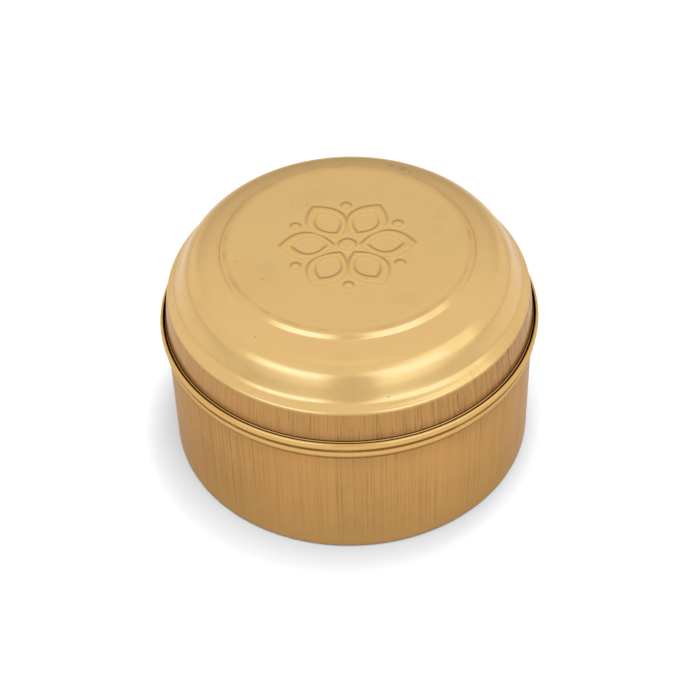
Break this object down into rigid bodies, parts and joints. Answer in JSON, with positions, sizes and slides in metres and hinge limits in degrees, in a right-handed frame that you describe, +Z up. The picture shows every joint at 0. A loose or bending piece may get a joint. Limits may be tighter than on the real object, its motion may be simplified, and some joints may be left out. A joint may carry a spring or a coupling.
{
  "type": "spice box masala dabba",
  "caption": "Round pressed-brass spice box: domed lid with an embossed flower drops inside a stepped, hemmed collar; small brass cups and a spoon inside.",
  "frame": {"origin": "centre of the underside, on the surface the box stands on", "axes": "+Z up along the box's axis; the spoon lies along X with its bowl towards -X; the flower has a petal on +X"},
  "size_m": [0.16, 0.16, 0.1001],
  "materials": {
    "lid_brass": "polished with a light haze, faint specks and tarnish at the disc's edge",
    "wall_brass": "satin with fine upright draw lines, polished hem",
    "cup_brass": "satin spun brass, polished rim",
    "spoon_brass": "polished, lightly brushed along the handle"
  },
  "bodies": {
    "box": {"box_body": "wall_brass"},
    "lid": {"lid": "lid_brass"},
    "cup_centre": {"cup_centre": "cup_brass"},
    "cup_1": {"cup_1": "cup_brass"},
    "cup_2": {"cup_2": "cup_brass"},
    "cup_3": {"cup_3": "cup_brass"},
    "cup_4": {"cup_4": "cup_brass"},
    "cup_5": {"cup_5": "cup_brass"},
    "cup_6": {"cup_6": "cup_brass"},
    "spoon": {"spoon": "spoon_brass"}
  },
  "joints": [
    {"name": "lid_lift", "type": "slide", "parent": "box", "child": "lid", "axis": [0, 0, 1], "range_m": [0, 0.2]},
    {"name": "spoon_lift", "type": "slide", "parent": "box", "child": "spoon", "axis": [0, 0, 1], "range_m": [0, 0.14]},
    {"name": "cup_centre_lift", "type": "slide", "parent": "box", "child": "cup_centre", "axis": [0, 0, 1], "range_m": [0, 0.1]},
    {"name": "cup_1_lift", "type": "slide", "parent": "box", "child": "cup_1", "axis": [0, 0, 1], "range_m": [0, 0.07]},
    {"name": "cup_2_lift", "type": "slide", "parent": "box", "child": "cup_2", "axis": [0, 0, 1], "range_m": [0, 0.07]},
    {"name": "cup_3_lift", "type": "slide", "parent": "box", "child": "cup_3", "axis": [0, 0, 1], "range_m": [0, 0.07]},
    {"name": "cup_4_lift", "type": "slide", "parent": "box", "child": "cup_4", "axis": [0, 0, 1], "range_m": [0, 0.07]},
    {"name": "cup_5_lift", "type": "slide", "parent": "box", "child": "cup_5", "axis": [0, 0, 1], "range_m": [0, 0.07]},
    {"name": "cup_6_lift", "type": "slide", "parent": "box", "child": "cup_6", "axis": [0, 0, 1], "range_m": [0, 0.07]}
  ],
  "couplings": [
    {"joint": "spoon_lift", "follows": "lid_lift", "ratio": 0.7},
    {"joint": "cup_centre_lift", "follows": "lid_lift", "ratio": 0.5},
    {"joint": "cup_1_lift", "follows": "lid_lift", "ratio": 0.35},
    {"joint": "cup_2_lift", "follows": "lid_lift", "ratio": 0.35},
    {"joint": "cup_3_lift", "follows": "lid_lift", "ratio": 0.35},
    {"joint": "cup_4_lift", "follows": "lid_lift", "ratio": 0.35},
    {"joint": "cup_5_lift", "follows": "lid_lift", "ratio": 0.35},
    {"joint": "cup_6_lift", "follows": "lid_lift", "ratio": 0.35}
  ]
}
